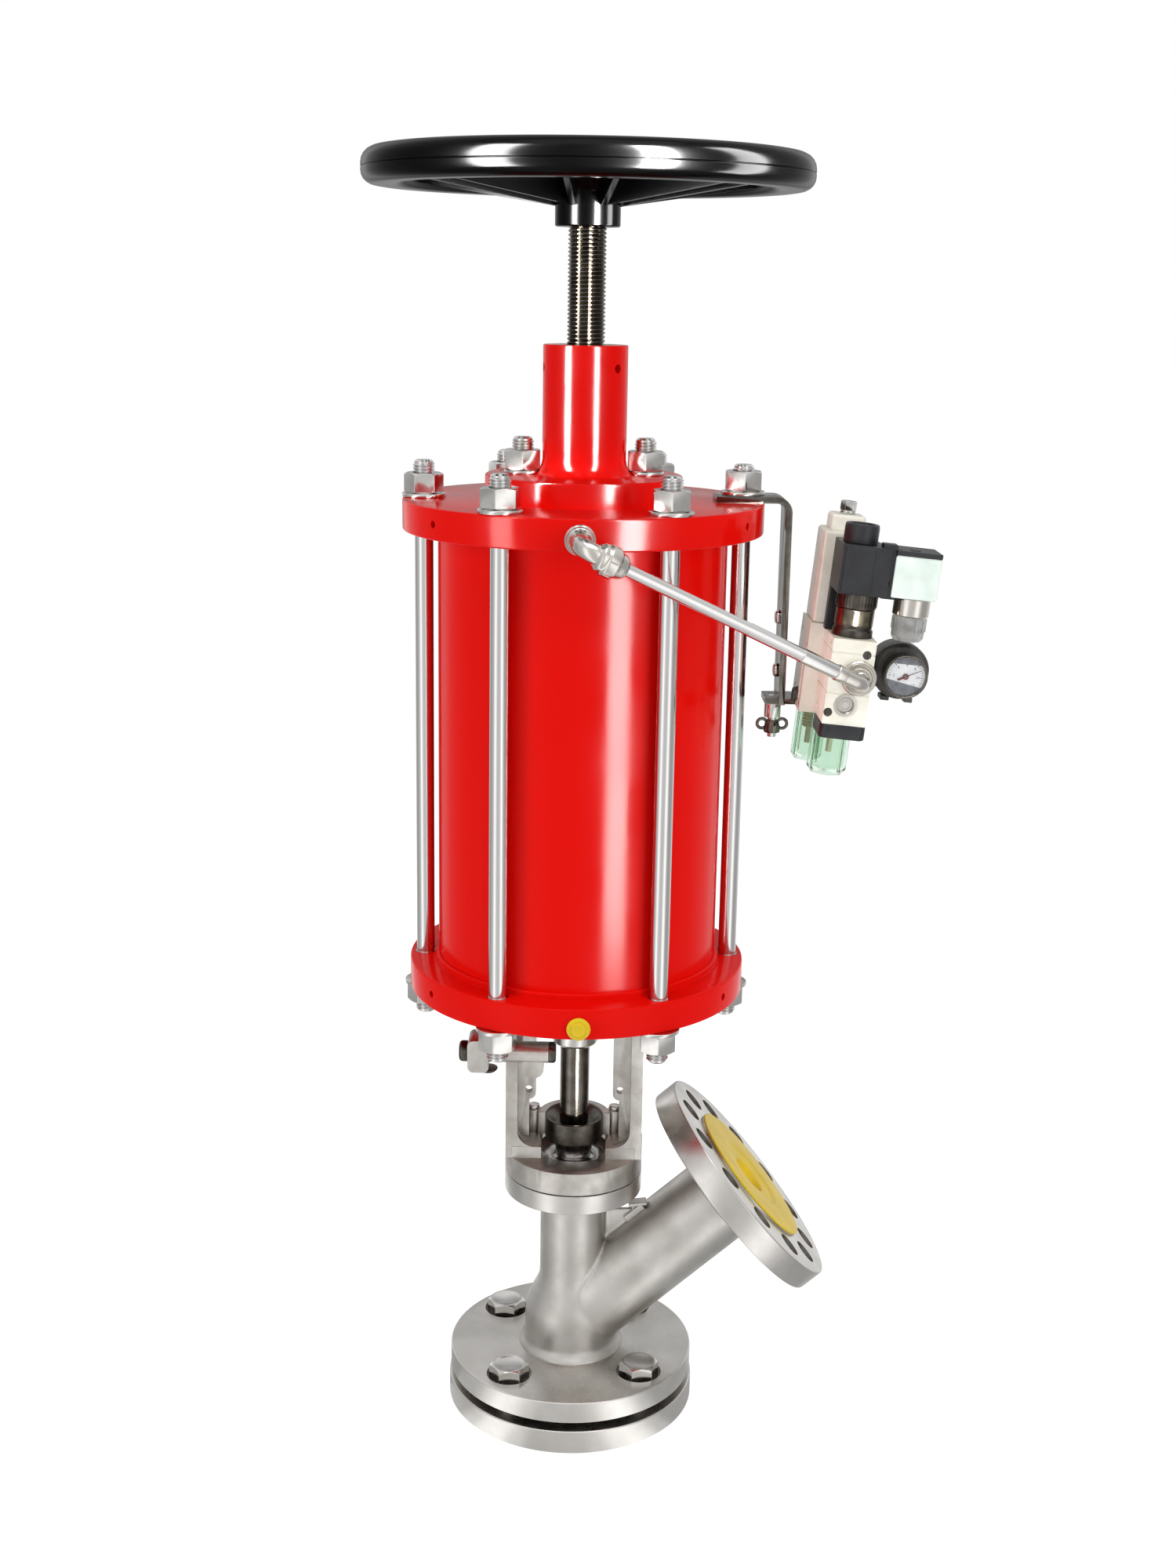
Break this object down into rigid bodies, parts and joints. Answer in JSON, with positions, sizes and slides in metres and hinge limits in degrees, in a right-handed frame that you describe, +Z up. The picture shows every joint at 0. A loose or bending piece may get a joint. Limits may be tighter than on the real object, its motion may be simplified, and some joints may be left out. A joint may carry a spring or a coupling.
{
  "type": "pneumatic discharge valve",
  "caption": "Flanged bottom-outlet valve with slanted branch, open yoke, tie-rod air cylinder, screw override with handwheel, and a side-mounted air set.",
  "frame": {"origin": "centre of the underside of the tank pad flange, at the mouth of the inlet bore", "axes": "+Z up along the stem, +X towards the slanted outlet and the air set, -Y towards the side with the air line's head port"},
  "size_m": [0.3589, 0.2921, 0.852],
  "materials": {
    "red_enamel": "gloss red enamel on cast and drawn steel",
    "blasted_stainless": "stainless steel, blasted and pickled, flange rims turned",
    "cast_stainless": "investment-cast stainless, blasted",
    "bright_zinc_steel": "bright stainless fasteners and tie rods",
    "ground_steel": "ground and hard-chromed shafts",
    "black_steel": "black-oxide steel",
    "aluminium_alloy": "turned aluminium",
    "bronze": "turned bronze",
    "graphite": "braided graphite packing and fibre gaskets",
    "nitrile_rubber": "moulded nitrile seals",
    "black_moulding": "gloss black phenolic moulding",
    "yellow_moulding": "soft yellow polyethylene",
    "cream_enamel": "cream powder coat on die-cast aluminium",
    "black_plastic": "black glass-filled nylon",
    "pale_plastic": "pale moulded connector shell",
    "clear_plastic": "clear polycarbonate",
    "smoked_plastic": "smoked translucent nylon gland",
    "dark_casting": "dark grey die casting",
    "nickel_plate": "nickel-plated brass fittings",
    "white_dial": "printed dial card",
    "red_pointer": "painted pointer",
    "filter_felt": "sintered filter element"
  },
  "bodies": {
    "valve": {"tank_flange": "blasted_stainless", "flange_gasket": "graphite", "body_bolts": "bright_zinc_steel", "valve_body": "blasted_stainless", "outlet_flange": "blasted_stainless", "bonnet_gasket": "graphite", "stuffing_box": "ground_steel", "packing_rings": "graphite", "gland_follower": "bright_zinc_steel", "gland_ring": "black_steel", "gland_clamp": "cast_stainless", "gland_screws": "bright_zinc_steel", "yoke": "cast_stainless", "clamp_bracket": "cast_stainless", "clamp_bolts": "bright_zinc_steel", "lower_head": "red_enamel", "cylinder_tube": "red_enamel", "top_head": "red_enamel", "cylinder_seals": "graphite", "tie_rods": "bright_zinc_steel", "rod_washers": "bright_zinc_steel", "rod_nuts": "bright_zinc_steel", "rod_bush": "ground_steel", "override_housing": "red_enamel", "housing_studs": "bright_zinc_steel", "spindle_nut": "bronze", "mounting_strip": "bright_zinc_steel", "strip_screws": "bright_zinc_steel", "wing_bolt": "bright_zinc_steel", "valve_block": "cream_enamel", "block_end_cap": "black_plastic", "armature_tube": "black_steel", "coil": "black_plastic", "coil_nut": "black_plastic", "connector": "pale_plastic", "cable_gland": "smoked_plastic", "regulator_body": "cream_enamel", "regulator_bonnet": "cream_enamel", "filter_bowls": "clear_plastic", "filter_elements": "filter_felt", "gauge_body": "dark_casting", "gauge_case": "nickel_plate", "gauge_dial": "white_dial", "gauge_lens": "clear_plastic", "tube_fittings": "nickel_plate", "air_tube": "bright_zinc_steel"},
    "plunger": {"stem": "ground_steel", "valve_disc": "ground_steel", "piston": "aluminium_alloy", "piston_seal": "nitrile_rubber", "piston_nut": "bright_zinc_steel"},
    "override_pad": {"thrust_pad": "bronze"},
    "hand_drive": {"handwheel": "black_moulding", "spindle": "ground_steel", "wheel_nut": "bright_zinc_steel"},
    "pointer": {"gauge_pointer": "red_pointer"},
    "pressure_screw": {"adjusting_screw": "bright_zinc_steel"},
    "clamp_wing": {"wing_nut": "bright_zinc_steel"},
    "transport_cover": {"outlet_cover": "yellow_moulding"},
    "transport_plug": {"port_plug": "yellow_moulding"}
  },
  "joints": [
    {"name": "valve_stroke", "type": "slide", "parent": "valve", "child": "plunger", "axis": [0, 0, 1], "range_m": [0, 0.025]},
    {"name": "override_travel", "type": "slide", "parent": "valve", "child": "override_pad", "axis": [0, 0, -1], "range_m": [0, 0.04]},
    {"name": "handwheel_turn", "type": "hinge", "parent": "override_pad", "child": "hand_drive", "pos_m": [0, 0, 0.8], "axis": [0, 0, -1], "range_deg": [0, 5758]},
    {"name": "gauge_pointer_turn", "type": "hinge", "parent": "valve", "child": "pointer", "pos_m": [0.20101, -0.065, 0.53421], "axis": [0, -1, 0], "range_deg": [-72, 198]},
    {"name": "pressure_screw_turn", "type": "hinge", "parent": "valve", "child": "pressure_screw", "pos_m": [0.16792, -0.012, 0.62882], "axis": [0.0958, 0, 0.9954], "range_deg": [-360, 360]},
    {"name": "wing_nut_turn", "type": "hinge", "parent": "valve", "child": "clamp_wing", "pos_m": [0.1265, 0, 0.4885], "axis": [0, 0, 1], "range_deg": [-180, 180]},
    {"name": "cover_pull", "type": "slide", "parent": "valve", "child": "transport_cover", "axis": [0.7609, 0.0319, 0.6481], "range_m": [0, 0.06]},
    {"name": "plug_pull", "type": "slide", "parent": "valve", "child": "transport_plug", "axis": [0, -1, 0], "range_m": [0, 0.02]}
  ],
  "couplings": [
    {"joint": "override_travel", "follows": "handwheel_turn", "m_per_rad": 0.00039789}
  ]
}
